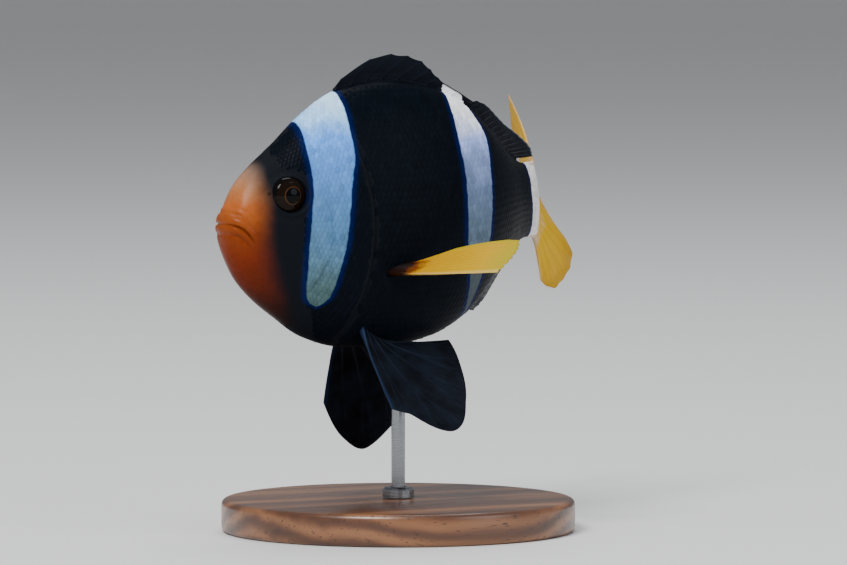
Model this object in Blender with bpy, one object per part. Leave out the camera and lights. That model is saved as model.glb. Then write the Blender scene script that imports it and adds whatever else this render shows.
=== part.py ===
"""A life-size display model of a Clark's anemonefish, turning as it swims, on a rod and a round base.

The fish is first shaped straight, in body lengths: "along" runs from the snout (0) to the root of the
tail fin (1), "side" is positive to the fish's right, and "height" is measured from the body's axis.
place() then bends the straight fish along its swimming curve, scales it and lifts it over the stand.
The head points to -X, the left flank faces -Y, and the origin is the middle of the base's underside.
"""

import math

import bmesh
import bpy
import numpy as np
from mathutils import Vector

# Driving dimensions, in metres.
BODY_LENGTH = 0.096
AXIS_HEIGHT = 0.070
GAP = 0.0003
BASE_RADIUS = 0.038
BASE_THICKNESS = 0.007
BASE_BEVEL = 0.0012
ROD_RADIUS = 0.0015
ROD_IN_BODY = 0.006
ROD_IN_BASE = 0.004
COLLAR_RADIUS = 0.0034
COLLAR_HEIGHT = 0.0022
RAY_THICKNESS = 0.00090
WEB_THICKNESS = 0.00055

# The swimming curve: the body is straight up to the shoulder, then turns to the right.
TURN_STARTS = 0.36
TURN_ENDS = 0.86
TAIL_TURN = math.radians(36.5)
ROLL_STARTS = 0.60
TAIL_ROLL = math.radians(3)  # the top of the tail leans to the right, the lower lobe to the left
ROD_ALONG = 0.45

# Stations of the body, in body lengths: along, top, bottom, half width, height of the widest line.
STATIONS = (
    (0.000, 0.002, -0.066, 0.024, -0.038),
    (0.012, 0.020, -0.112, 0.045, -0.040),
    (0.035, 0.064, -0.156, 0.058, -0.040),
    (0.075, 0.105, -0.199, 0.072, -0.036),
    (0.130, 0.149, -0.241, 0.086, -0.030),
    (0.200, 0.211, -0.286, 0.097, -0.030),
    (0.290, 0.264, -0.311, 0.106, -0.034),
    (0.400, 0.284, -0.316, 0.105, -0.036),
    (0.520, 0.268, -0.300, 0.094, -0.030),
    (0.640, 0.224, -0.255, 0.077, -0.020),
    (0.760, 0.155, -0.172, 0.056, -0.010),
    (0.870, 0.097, -0.114, 0.037, -0.008),
    (0.950, 0.075, -0.098, 0.027, -0.012),
    (1.000, 0.074, -0.102, 0.019, -0.014),
)
RING_POINTS = 36
LENS_POWER = 1.85  # under 2, so that the back and the belly are a little pointed

# Cuts between head, trunk and tail stalk, and what stands on the head.
GILL_EDGE_ALONG = 0.328
GILL_EDGE_HEIGHT = -0.045
GILL_EDGE_CURVE = 0.95
GILL_STEP = 0.005
STALK_ALONG = 0.870
EYE_PLACE = (0.133, 0.036)
EYE_RADIUS = 0.0425
EYE_FLATNESS = 0.62
EYE_BULGE = 0.010
MOUTH_FRONT = (-0.004, -0.028)
MOUTH_CORNER = (0.050, -0.070)
MOUTH_WIDTH = 0.0065
LIP_HEIGHT = 0.003
LIP_SPREAD = 0.026

# Fins. Each fan is set by its roots, the lean of its rays and their lengths, from front to back.
DORSAL_SPINES = 10
DORSAL_RAYS = 14
DORSAL_START, DORSAL_NOTCH, DORSAL_END = 0.285, 0.668, 0.905
SPINE_PLACES = (0.0, 0.1, 0.25, 0.45, 0.65, 0.8, 1.0)  # from the first spine to the last
SPINE_LENGTHS = (0.028, 0.072, 0.088, 0.080, 0.046, 0.032, 0.044)
SPINE_LEANS = (38, 92)  # from upright, in degrees, of the first spine and the last
SPINE_CURL = (0.02, 0.0, 0.0)
SOFT_PLACES = (0.0, 0.1, 0.45, 0.6, 0.8, 1.0)  # from the first soft ray to the last
SOFT_LENGTHS = (0.046, 0.064, 0.098, 0.129, 0.152, 0.118)
SOFT_LEANS = (76, 94)
SOFT_SIDEWAYS = math.radians(10)  # to the fish's right
SOFT_CURLS = ((0.0, 0.0, 0.03), (0.0, -0.03, 0.05))
ANAL_RAYS = 15
ANAL_START, ANAL_END = 0.665, 0.885
ANAL_PLACES = (0.0, 0.15, 0.55, 0.85, 1.0)  # from the front ray to the last
ANAL_LENGTHS = (0.038, 0.066, 0.094, 0.090, 0.066)
ANAL_LEANS = (74, 92)
ANAL_SIDEWAYS = math.radians(54)
ANAL_CURL = (0.02, 0.04, 0.03)
TAIL_RAYS = 17
TAIL_ROOT_HALF_HEIGHT = 0.084
TAIL_PLACES = (-1.0, -0.85, -0.7, -0.4, 0.0, 0.5, 1.0)  # from the lowest ray to the highest
TAIL_ANGLES = (-50, -42, -34, -23, -9, 14, 36)  # upwards, in degrees
TAIL_SWINGS = (17, 12, 7, 2, 11, 24, 27)  # to the fish's right, in degrees
TAIL_LENGTHS = (0.205, 0.250, 0.280, 0.294, 0.240, 0.262, 0.258)
TAIL_CURLS = (0.03, 0.05, 0.05, 0.045, 0.09, 0.12, 0.13)  # further to the right
TAIL_LIFTS = (0.24, 0.12, 0.02, 0.0, 0.0, 0.0, 0.0)
PECTORAL_RAYS = 12
PECTORAL_ABDUCTION = math.radians(48)
PECTORAL_RISE = math.radians(9)
PECTORAL_TILT = math.radians(22)
PECTORAL_ROOTS = ((0.368, -0.144), (0.412, -0.128))  # along and height of the leading ray and the last
PECTORAL_FAN = (-19, 32)  # turned from the fin's span, in degrees
PECTORAL_PLACES = (0.0, 0.2, 0.5, 0.64, 0.8, 1.0)  # from the leading ray to the last
PECTORAL_LENGTHS = (0.262, 0.248, 0.238, 0.234, 0.183, 0.105)
PECTORAL_CURL = 0.05
PECTORAL_ROOT_OUT = 0.004
PELVIC_RAYS = 6
PELVIC_START, PELVIC_END = 0.324, 0.390
PELVIC_ROOT_SIDES = (0.056, 0.036)
PELVIC_ROOT_DROP = 0.012
PELVIC_PLACES = (0.0, 0.2, 0.4, 0.7, 1.0)  # from the leading ray to the inner one
PELVIC_CURLS = ((0.06, 0.0, 0.02), (0.0, 0.0, 0.02))
PELVIC_SPLAY = {"left": math.radians(39), "right": math.radians(30)}
PELVIC_SWEEP = {"left": (math.radians(-4), math.radians(88)), "right": (math.radians(3), math.radians(74))}
PELVIC_LENGTH = {"left": 0.280, "right": 0.351}
PELVIC_SHARES = {"left": (0.78, 0.80, 1.02, 0.73, 0.60), "right": (0.60, 0.87, 1.04, 0.92, 0.78)}
PELVIC_OPENING = {"left": 1.5, "right": 1.2}  # over 1, so that the leading rays lie closest together

BLACK = ("black_skin", (0.012, 0.012, 0.018), 0.45, 0.0)
ORANGE = ("orange_skin", (0.62, 0.20, 0.045), 0.42, 0.0)
WHITE = ("white_skin", (0.72, 0.77, 0.84), 0.42, 0.0)
BLACK_FIN = ("black_fin", (0.014, 0.014, 0.022), 0.50, 0.0)
YELLOW_FIN = ("yellow_fin", (0.85, 0.45, 0.02), 0.45, 0.0)
EYE = ("eye", (0.010, 0.008, 0.008), 0.08, 0.0)
WOOD = ("stand_wood", (0.16, 0.085, 0.045), 0.40, 0.0)
STEEL = ("stand_steel", (0.60, 0.60, 0.62), 0.25, 1.0)


def smooth_step(value, start, end):
    """0 before start, 1 after end, and an S curve between them."""
    share = min(1.0, max(0.0, (value - start) / (end - start)))
    return share * share * (3 - 2 * share)


def between(ends, share):
    """The value a share of the way from the first end to the second."""
    return ends[0] + (ends[1] - ends[0]) * share


def curve_through(knots, values, where):
    """A smooth curve through (knots, values) that never overshoots them, read at one place."""
    steps = np.diff(knots)
    slopes = np.diff(values) / steps
    tangents = np.empty(len(knots))
    tangents[0], tangents[-1] = slopes[0], slopes[-1]
    for i in range(1, len(knots) - 1):
        before, after = slopes[i - 1], slopes[i]
        tangents[i] = 0.0 if before * after <= 0 else 2 * before * after / (before + after)
    i = int(np.clip(np.searchsorted(knots, where) - 1, 0, len(steps) - 1))
    t = (where - knots[i]) / steps[i]
    return float(
        values[i] * (1 + 2 * t) * (1 - t) ** 2
        + values[i + 1] * t * t * (3 - 2 * t)
        + steps[i] * (tangents[i] * t * (1 - t) ** 2 - tangents[i + 1] * t * t * (1 - t))
    )


# The snout is blunt, so the body's outlines are smooth in the square root of "along".
STATION_ROOTS = np.sqrt([row[0] for row in STATIONS])
STATION_COLUMNS = np.array([row[1:] for row in STATIONS]).T


def section(along):
    """Top, bottom, half width and height of the widest line of the body at one place."""
    root = math.sqrt(min(1.0, max(0.0, along)))
    return [curve_through(STATION_ROOTS, column, root) for column in STATION_COLUMNS]


def gill_edge(height):
    """Where the gill cover ends, at one height."""
    return GILL_EDGE_ALONG - GILL_EDGE_CURVE * (height - GILL_EDGE_HEIGHT) ** 2


def mouth_line(along):
    """Height of the closed mouth in side view, which turns down at its corners."""
    share = (along - MOUTH_FRONT[0]) / (MOUTH_CORNER[0] - MOUTH_FRONT[0])
    return MOUTH_FRONT[1] + (MOUTH_CORNER[1] - MOUTH_FRONT[1]) * share**2.2


def relief(along, height, on_head):
    """How far the lips and the gill cover stand out from the plain body."""
    lips = 0.0
    if along < MOUTH_CORNER[0]:
        off_line = (height - mouth_line(max(0.0, along))) / LIP_SPREAD
        lips = LIP_HEIGHT * math.exp(-(off_line**2))
        lips *= 1 - smooth_step(along, 0.35 * MOUTH_CORNER[0], MOUTH_CORNER[0])
    cover = 0.0
    if on_head:
        edge = gill_edge(height)
        cover = GILL_STEP * smooth_step(along, edge - 0.07, edge)
        cover *= smooth_step(height, -0.30, -0.20) * (1 - smooth_step(height, 0.10, 0.18))
    return lips + cover


def skin_point(along, angle, on_head=False):
    """A point of the straight body's surface. Angle 0 is the back, and a quarter turn the right flank."""
    top, bottom, half_width, middle = section(along)
    up, out = math.cos(angle), math.sin(angle)
    power = 2 / LENS_POWER
    reach = top - middle if up > 0 else middle - bottom
    height = middle + math.copysign(abs(up) ** power * reach, up)
    width = half_width * abs(out) ** power
    width += relief(along, height, on_head) * min(1.0, abs(out) * 1.6)
    return along, math.copysign(width, out), height


def belly_height(along, side):
    """Height of the body's underside below one place of its plan."""
    _, bottom, half_width, middle = section(along)
    share = max(0.0, 1 - (abs(side) / half_width) ** LENS_POWER) ** (1 / LENS_POWER)
    return middle + share * (bottom - middle)


def swimming_curve(along):
    """Place of the body's midline in plan, and its heading."""
    steps = 160
    length = along / steps
    x = y = 0.0
    for i in range(steps):
        heading = TAIL_TURN * smooth_step((i + 0.5) * length, TURN_STARTS, TURN_ENDS)
        x += math.cos(heading) * length
        y += math.sin(heading) * length
    return x, y, TAIL_TURN * smooth_step(along, TURN_STARTS, TURN_ENDS)


ROD_PLACE = swimming_curve(ROD_ALONG)[:2]


def place(along, side, height):
    """A point of the straight fish, in body lengths, bent to the swimming curve and set over the stand."""
    x, y, heading = swimming_curve(along)
    roll = TAIL_ROLL * smooth_step(along, ROLL_STARTS, 1.0)
    side, height = (
        side * math.cos(roll) + height * math.sin(roll),
        height * math.cos(roll) - side * math.sin(roll),
    )
    x -= side * math.sin(heading)
    y += side * math.cos(heading)
    return Vector(
        (
            (x - ROD_PLACE[0]) * BODY_LENGTH,
            (y - ROD_PLACE[1]) * BODY_LENGTH,
            AXIS_HEIGHT + height * BODY_LENGTH,
        )
    )


def material(look):
    """One Principled material for each kind of surface, made when it is first asked for."""
    name, colour, roughness, metallic = look
    made = bpy.data.materials.get(name)
    if made is None:
        made = bpy.data.materials.new(name)
        made.use_nodes = True
        shader = made.node_tree.nodes["Principled BSDF"]
        shader.inputs["Base Color"].default_value = (*colour, 1.0)
        shader.inputs["Roughness"].default_value = roughness
        shader.inputs["Metallic"].default_value = metallic
        made.diffuse_color = (*colour, 1.0)
    return made


def add_object(name, bm, look):
    """Closes the bmesh into a named object with outward normals."""
    bmesh.ops.recalc_face_normals(bm, faces=bm.faces)
    mesh = bpy.data.meshes.new(name)
    bm.to_mesh(mesh)
    bm.free()
    mesh.materials.append(material(look))
    mesh.shade_smooth()
    mesh.set_sharp_from_angle(angle=math.radians(50))
    made = bpy.data.objects.new(name, mesh)
    bpy.context.scene.collection.objects.link(made)
    return made


def cut(body, cutter):
    """Takes the cutter's shape out of the body."""
    cutter.hide_render = True
    cutter.display_type = "WIRE"
    modifier = body.modifiers.new(f"cut_{cutter.name}", "BOOLEAN")
    modifier.operation = "DIFFERENCE"
    modifier.solver = "EXACT"
    modifier.object = cutter


def ladder_cap(bm, ring):
    """Closes a ring that is alike on both flanks with rungs from flank to flank."""
    count = len(ring)
    bm.faces.new((ring[0], ring[1], ring[-1]))
    for i in range(1, count // 2 - 1):
        bm.faces.new((ring[i], ring[i + 1], ring[count - i - 1], ring[count - i]))
    bm.faces.new((ring[count // 2 - 1], ring[count // 2], ring[count // 2 + 1]))


def body_length_of_flesh(name, front, back, shares, on_head, look):
    """Lofts the flesh between two cuts. front and back give the cut's place at a height."""
    bm = bmesh.new()
    rings = []
    for share in shares:
        ring = []
        for i in range(RING_POINTS):
            angle = 2 * math.pi * i / RING_POINTS
            height = 0.0
            for _ in range(6):
                along = front(height) + (back(height) - front(height)) * share
                height = skin_point(along, angle, on_head)[2]
            ring.append(bm.verts.new(place(*skin_point(along, angle, on_head))))
        rings.append(ring)
    for ring, following in zip(rings, rings[1:]):
        for i in range(RING_POINTS):
            j = (i + 1) % RING_POINTS
            bm.faces.new((ring[i], ring[j], following[j], following[i]))
    ladder_cap(bm, rings[0])
    ladder_cap(bm, rings[-1])
    return add_object(name, bm, look)


def ball(name, centre, radii, look, segments=24, rings=14):
    """A closed ellipsoid in the straight fish, where the head lies along X."""
    bm = bmesh.new()
    bmesh.ops.create_uvsphere(bm, u_segments=segments, v_segments=rings, radius=1.0)
    middle = place(*centre)
    for vert in bm.verts:
        stretched = Vector(a * b * BODY_LENGTH for a, b in zip(vert.co, radii))
        vert.co = middle + stretched
    return add_object(name, bm, look)


def mouth_cutter():
    """A thin curved wedge that parts the lips as far back as the corners of the mouth."""
    bm = bmesh.new()
    start, steps, half_span = -0.03, 8, 0.12
    rows = []
    for i in range(steps + 1):
        along = start + (MOUTH_CORNER[0] - start) * i / steps
        middle = mouth_line(max(along, MOUTH_FRONT[0])) + 0.3 * min(0.0, MOUTH_FRONT[0] - along)
        half = MOUTH_WIDTH / 2 * (1 - 0.8 * i / steps)
        corners = ((-half_span, -half), (half_span, -half), (half_span, half), (-half_span, half))
        rows.append([bm.verts.new(place(along, side, middle + off)) for side, off in corners])
    for row, following in zip(rows, rows[1:]):
        for i in range(4):
            j = (i + 1) % 4
            bm.faces.new((row[i], row[j], following[j], following[i]))
    bm.faces.new(rows[0])
    bm.faces.new(rows[-1])
    return add_object("mouth_cutter", bm, ORANGE)


def eye_centre(side):
    """Centre of an eyeball set so deep that it stands EYE_BULGE proud of the cheek."""
    along, height = EYE_PLACE
    top, _, half_width, middle = section(along)
    flank = half_width * (1 - abs((height - middle) / (top - middle)) ** LENS_POWER) ** (1 / LENS_POWER)
    return along, side * (flank + EYE_BULGE - EYE_RADIUS * EYE_FLATNESS), height


def make_body():
    """Head, trunk and tail stalk, parted by thin cuts at the gill covers and before the tail."""
    thin = GAP / BODY_LENGTH / 2
    head_shares = [(i / 20) ** 1.6 for i in range(21)]
    head = body_length_of_flesh(
        "head", lambda h: 0.0, lambda h: gill_edge(h) - thin, head_shares, True, ORANGE
    )
    trunk = body_length_of_flesh(
        "trunk",
        lambda h: gill_edge(h) + thin,
        lambda h: STALK_ALONG - thin,
        [i / 13 for i in range(14)],
        False,
        BLACK,
    )
    body_length_of_flesh(
        "tail_stalk",
        lambda h: STALK_ALONG + thin,
        lambda h: 1.0,
        [i / 6 for i in range(7)],
        False,
        WHITE,
    )
    cut(head, mouth_cutter())
    for name, side in (("left", -1), ("right", 1)):
        centre = eye_centre(side)
        eye_radii = (EYE_RADIUS, EYE_RADIUS * EYE_FLATNESS, EYE_RADIUS)
        ball(f"eye_{name}", centre, eye_radii, EYE)
        clearance = GAP / BODY_LENGTH
        socket_radii = [radius + clearance for radius in eye_radii]
        cut(head, ball(f"socket_{name}", centre, socket_radii, EYE))
    bm = bmesh.new()
    bottom = place(ROD_ALONG, 0.0, section(ROD_ALONG)[1]).z
    reach = 0.004
    bmesh.ops.create_cone(
        bm,
        cap_ends=True,
        segments=20,
        radius1=ROD_RADIUS + GAP,
        radius2=ROD_RADIUS + GAP,
        depth=ROD_IN_BODY + GAP + reach,
    )
    centre_height = bottom + (ROD_IN_BODY + GAP - reach) / 2
    bmesh.ops.translate(bm, verts=bm.verts, vec=(0, 0, centre_height))
    cut(trunk, add_object("rod_socket", bm, STEEL))


def fan(name, roots, directions, lengths, curls, look, steps=5, root_thickness=1.25, notch=0.03):
    """A fin of thick rays with thinner web between them, as one closed sheet.

    The four lists run over the rays. Half way between two rays comes a column of web, which is
    thinner and ends a little short, so that the margin is scalloped.
    """
    columns = []
    for i in range(2 * len(roots) - 1):
        low, high = i // 2, (i + 1) // 2
        is_web = i % 2
        root, direction, curl = (
            (Vector(values[low]) + Vector(values[high])) / 2
            for values in (roots, directions, curls)
        )
        length = (lengths[low] + lengths[high]) / 2 * (1 - notch * is_web)
        direction.normalize()
        points = []
        for j in range(steps + 1):
            t = j / steps
            points.append(place(*(root + (direction * t + curl * t * t) * length)))
        thickness = WEB_THICKNESS if is_web else RAY_THICKNESS
        columns.append((points, thickness))
    bm = bmesh.new()
    sheets = ([], [])
    last = len(columns) - 1
    for i, (points, thickness) in enumerate(columns):
        before, after = columns[max(0, i - 1)][0], columns[min(last, i + 1)][0]
        rows = ([], [])
        for j, point in enumerate(points):
            along_ray = points[min(steps, j + 1)] - points[max(0, j - 1)]
            normal = along_ray.cross(after[j] - before[j]).normalized()
            share = j / steps
            tip = max(WEB_THICKNESS, thickness * 0.7)
            half = (thickness * root_thickness * (1 - share) + tip * share) / 2
            rows[0].append(bm.verts.new(point + normal * half))
            rows[1].append(bm.verts.new(point - normal * half))
        sheets[0].append(rows[0])
        sheets[1].append(rows[1])
    for sheet in sheets:
        for row, following in zip(sheet, sheet[1:]):
            for j in range(steps):
                bm.faces.new((row[j], row[j + 1], following[j + 1], following[j]))
    for i in range(last):
        for j in (0, steps):
            upper, lower = sheets
            bm.faces.new((upper[i][j], upper[i + 1][j], lower[i + 1][j], lower[i][j]))
    for i in (0, last):
        for j in range(steps):
            upper, lower = sheets
            bm.faces.new((upper[i][j], upper[i][j + 1], lower[i][j + 1], lower[i][j]))
    return add_object(name, bm, look)


def leaning(lean, sideways=0.0, downward=False):
    """Direction of a ray that leans back from upright, and then sideways."""
    up = math.cos(lean)
    return (
        math.sin(lean),
        math.sin(sideways) * max(0.35, abs(up)),
        (-1 if downward else 1) * up * math.cos(sideways),
    )


def make_dorsal_fin():
    """Ten spines, raised in front and folded back behind, then the soft lobe, which leans to the right."""
    lift = 1.8 * GAP / BODY_LENGTH
    roots, directions, lengths, curls = [], [], [], []
    for i in range(DORSAL_SPINES):
        u = i / (DORSAL_SPINES - 1)
        along = between((DORSAL_START, DORSAL_NOTCH - 0.03), u)
        roots.append((along, 0.0, section(along)[0] + lift))
        directions.append(leaning(math.radians(between(SPINE_LEANS, u))))
        lengths.append(curve_through(SPINE_PLACES, SPINE_LENGTHS, u))
        curls.append(SPINE_CURL)
    for i in range(DORSAL_RAYS):
        u = i / (DORSAL_RAYS - 1)
        along = between((DORSAL_NOTCH, DORSAL_END), u)
        roots.append((along, 0.0, section(along)[0] + lift))
        directions.append(leaning(math.radians(between(SOFT_LEANS, u)), SOFT_SIDEWAYS))
        lengths.append(curve_through(SOFT_PLACES, SOFT_LENGTHS, u))
        curls.append(Vector(SOFT_CURLS[0]).lerp(Vector(SOFT_CURLS[1]), u))
    fan("dorsal_fin", roots, directions, lengths, curls, BLACK_FIN, steps=4)


def make_anal_fin():
    """Two short spines and thirteen soft rays under the tail stalk, half folded."""
    drop = 2.3 * GAP / BODY_LENGTH
    roots, directions, lengths, curls = [], [], [], []
    for i in range(ANAL_RAYS):
        u = i / (ANAL_RAYS - 1)
        along = between((ANAL_START, ANAL_END), u)
        roots.append((along, 0.0, section(along)[1] - drop))
        lean = math.radians(between(ANAL_LEANS, u))
        directions.append(leaning(lean, ANAL_SIDEWAYS, downward=True))
        lengths.append(curve_through(ANAL_PLACES, ANAL_LENGTHS, u))
        curls.append(ANAL_CURL)
    fan("anal_fin", roots, directions, lengths, curls, BLACK_FIN, steps=4)


def make_tail_fin():
    """Two rounded lobes with a shallow notch. The upper lobe is swept to the fish's right."""
    roots, directions, lengths, curls = [], [], [], []
    start = 1.0 + 2.4 * GAP / BODY_LENGTH
    for i in range(TAIL_RAYS):
        v = 2 * i / (TAIL_RAYS - 1) - 1
        angle, swing, length, curl, lift = (
            curve_through(TAIL_PLACES, values, v)
            for values in (TAIL_ANGLES, TAIL_SWINGS, TAIL_LENGTHS, TAIL_CURLS, TAIL_LIFTS)
        )
        angle, swing = math.radians(angle), math.radians(swing)
        roots.append((start, 0.0, section(1.0)[3] + TAIL_ROOT_HALF_HEIGHT * v))
        level = math.cos(angle)
        directions.append((level * math.cos(swing), level * math.sin(swing), math.sin(angle)))
        lengths.append(length)
        curls.append((0.0, curl, lift))
    fan("tail_fin", roots, directions, lengths, curls, YELLOW_FIN, steps=6, root_thickness=1.6)


def make_pectoral_fin(name, side):
    """Held out from the flank and feathered, with its leading ray in front and lowest."""
    out = math.sin(PECTORAL_ABDUCTION), math.cos(PECTORAL_ABDUCTION)
    span = Vector((out[1], side * out[0], math.tan(PECTORAL_RISE))).normalized()
    flat = Vector((out[0], -side * out[1], 0.0))
    chord = flat * math.cos(PECTORAL_TILT) + Vector((0, 0, math.sin(PECTORAL_TILT)))
    roots, directions, lengths, curls = [], [], [], []
    for i in range(PECTORAL_RAYS):
        v = i / (PECTORAL_RAYS - 1)
        along, height = (between(ends, v) for ends in zip(*PECTORAL_ROOTS))
        _, bottom, half_width, middle = section(along)
        share = abs((height - middle) / (middle - bottom))
        flank = half_width * (1 - share**LENS_POWER) ** (1 / LENS_POWER)
        roots.append((along, side * (flank + PECTORAL_ROOT_OUT), height))
        fanned = math.radians(between(PECTORAL_FAN, v))
        directions.append(span * math.cos(fanned) + chord * math.sin(fanned))
        lengths.append(curve_through(PECTORAL_PLACES, PECTORAL_LENGTHS, v))
        curls.append(chord * PECTORAL_CURL)
    fan(f"pectoral_fin_{name}", roots, directions, lengths, curls, YELLOW_FIN)


def make_pelvic_fin(name, side):
    """A broad fan under the breast: the leading ray hangs down and out, the inner one trails."""
    splay = PELVIC_SPLAY[name]
    roots, directions, lengths, curls = [], [], [], []
    for i in range(PELVIC_RAYS):
        v = i / (PELVIC_RAYS - 1)
        along = between((PELVIC_START, PELVIC_END), v)
        root_side = side * between(PELVIC_ROOT_SIDES, v)
        roots.append((along, root_side, belly_height(along, root_side) - PELVIC_ROOT_DROP))
        sweep = between(PELVIC_SWEEP[name], v ** PELVIC_OPENING[name])
        down, out = math.cos(sweep) * math.cos(splay), math.cos(sweep) * math.sin(splay)
        directions.append((math.sin(sweep), side * out, -down))
        lengths.append(PELVIC_LENGTH[name] * curve_through(PELVIC_PLACES, PELVIC_SHARES[name], v))
        curls.append(Vector(PELVIC_CURLS[0]).lerp(Vector(PELVIC_CURLS[1]), v))
    fan(f"pelvic_fin_{name}", roots, directions, lengths, curls, BLACK_FIN, steps=6, notch=0.0)


def turned(profile, segments=48):
    """A closed body turned round the stand's axis from a profile of (radius, height) points."""
    bm = bmesh.new()
    rings = []
    for radius, height in profile:
        ring = []
        for i in range(segments):
            angle = 2 * math.pi * i / segments
            ring.append(bm.verts.new((radius * math.cos(angle), radius * math.sin(angle), height)))
        rings.append(ring)
    for ring, following in zip(rings, rings[1:]):
        for i in range(segments):
            j = (i + 1) % segments
            bm.faces.new((ring[i], ring[j], following[j], following[i]))
    return bm, rings


def make_stand():
    """A round base with a blind hole, a steel rod up into the belly, and a collar round the rod's foot."""
    hole = ROD_RADIUS + GAP
    floor_of_hole = BASE_THICKNESS - ROD_IN_BASE
    rounding = [
        (
            BASE_RADIUS - BASE_BEVEL * (1 - math.cos(a)),
            BASE_THICKNESS - BASE_BEVEL * (1 - math.sin(a)),
        )
        for a in (math.pi / 2 * i / 4 for i in range(5))
    ]
    foot = BASE_BEVEL / 3
    profile = [(BASE_RADIUS - foot, 0.0), (BASE_RADIUS, foot), *rounding]
    profile += [(hole, BASE_THICKNESS), (hole, floor_of_hole)]
    bm, rings = turned(profile)
    bm.faces.new(rings[0])
    bm.faces.new(rings[-1])
    add_object("stand_base", bm, WOOD)

    rod_top = place(ROD_ALONG, 0.0, section(ROD_ALONG)[1]).z + ROD_IN_BODY
    rod_bottom = floor_of_hole + GAP
    chamfer = ROD_RADIUS / 4
    profile = [
        (ROD_RADIUS - chamfer, rod_bottom),
        (ROD_RADIUS, rod_bottom + chamfer),
        (ROD_RADIUS, rod_top - chamfer),
        (ROD_RADIUS - chamfer, rod_top),
    ]
    bm, rings = turned(profile, segments=16)
    bm.faces.new(rings[0])
    bm.faces.new(rings[-1])
    add_object("stand_rod", bm, STEEL)

    low = BASE_THICKNESS + GAP
    high = low + COLLAR_HEIGHT
    chamfer = COLLAR_HEIGHT / 4
    profile = [
        (hole, low),
        (COLLAR_RADIUS, low),
        (COLLAR_RADIUS, high - chamfer),
        (COLLAR_RADIUS - chamfer, high),
        (hole, high),
        (hole, low),
    ]
    bm, rings = turned(profile, segments=24)
    bmesh.ops.remove_doubles(bm, verts=bm.verts, dist=1e-7)
    add_object("stand_collar", bm, STEEL)


def main():
    for old in list(bpy.data.objects):
        bpy.data.objects.remove(old)
    make_body()
    make_dorsal_fin()
    make_anal_fin()
    make_tail_fin()
    for name, side in (("left", -1), ("right", 1)):
        make_pectoral_fin(name, side)
        make_pelvic_fin(name, side)
    make_stand()


main()
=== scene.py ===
"""Looks of the clownfish display model: one skin with its scales, the fins, the eyes and the stand."""

import math

import bpy
import numpy as np
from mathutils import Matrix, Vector


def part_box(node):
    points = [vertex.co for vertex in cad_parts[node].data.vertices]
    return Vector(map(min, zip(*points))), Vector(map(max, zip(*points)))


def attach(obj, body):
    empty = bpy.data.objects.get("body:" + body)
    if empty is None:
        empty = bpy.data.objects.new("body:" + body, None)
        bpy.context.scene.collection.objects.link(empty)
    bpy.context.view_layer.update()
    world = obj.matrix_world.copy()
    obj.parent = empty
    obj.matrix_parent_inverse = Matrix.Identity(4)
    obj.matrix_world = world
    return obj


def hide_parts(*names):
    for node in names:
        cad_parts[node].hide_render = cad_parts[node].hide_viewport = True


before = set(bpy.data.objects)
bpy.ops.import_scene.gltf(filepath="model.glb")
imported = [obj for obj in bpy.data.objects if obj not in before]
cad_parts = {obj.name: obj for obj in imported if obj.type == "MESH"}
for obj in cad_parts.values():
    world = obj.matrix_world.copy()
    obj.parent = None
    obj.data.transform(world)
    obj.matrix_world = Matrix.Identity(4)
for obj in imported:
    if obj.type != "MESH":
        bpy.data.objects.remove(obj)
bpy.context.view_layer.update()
bpy.ops.object.select_all(action="DESELECT")

# ----------------------------------------
# SKIN
# One unbroken skin over head, trunk and tail stalk, wet and soft, thickened into lips round the mouth
# and into rims round the eyes and gill covers. It is bare on the face and lies under the scales elsewhere.

# The fish is shaped straight, in body lengths: "along" runs from the snout to the root of the tail fin,
# "side" is positive to the fish's right, and "height" is measured from the body's axis. It is then bent
# along its swimming curve, scaled, and lifted over the stand.
BODY_LENGTH = 0.096
AXIS_HEIGHT = 0.070
TURN_STARTS, TURN_ENDS = 0.36, 0.86
TAIL_TURN = math.radians(36.5)
ROLL_STARTS, TAIL_ROLL = 0.60, math.radians(3)
ROD_ALONG = 0.45
SNOUT, TAIL_ROOT = -0.004, 1.018
COAT_DEPTH = 0.0016

# Stations of the body: along, top, bottom, half width, height of the widest line.
STATIONS = np.array((
    (0.000, 0.002, -0.066, 0.024, -0.038),
    (0.012, 0.020, -0.112, 0.045, -0.040),
    (0.035, 0.064, -0.156, 0.058, -0.040),
    (0.075, 0.105, -0.199, 0.072, -0.036),
    (0.130, 0.149, -0.241, 0.086, -0.030),
    (0.200, 0.211, -0.286, 0.097, -0.030),
    (0.290, 0.264, -0.311, 0.106, -0.034),
    (0.400, 0.284, -0.316, 0.105, -0.036),
    (0.520, 0.268, -0.300, 0.094, -0.030),
    (0.640, 0.224, -0.255, 0.077, -0.020),
    (0.760, 0.155, -0.172, 0.056, -0.010),
    (0.870, 0.097, -0.114, 0.037, -0.008),
    (0.950, 0.075, -0.098, 0.027, -0.012),
    (1.000, 0.074, -0.102, 0.019, -0.014),
))
LENS_POWER = 1.85  # under 2, so that the back and the belly are a little pointed
MOUTH_FRONT, MOUTH_CORNER = (-0.004, -0.028), (0.050, -0.070)
EYE_PLACE = (0.133, 0.036)
NOSTRIL_PLACE = (0.086, 0.040)

# Rear edges of the gill cover and the cheek plate: furthest back, at what height, and how strongly bowed.
# Each plate rises to its edge and drops behind it, within a range of heights.
GILL_EDGE = (0.328, -0.045, 0.95)
CHEEK_EDGE = (0.222, -0.055, 3.0)
COVER = {"rise": 0.0058, "to_edge": (-0.070, -0.004, -0.001, 0.004), "heights": (-0.30, -0.20, 0.10, 0.18)}
CHEEK = {"rise": 0.0026, "to_edge": (-0.045, 0.0, 0.0, 0.006), "heights": (-0.20, -0.15, 0.02, 0.07)}

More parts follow.
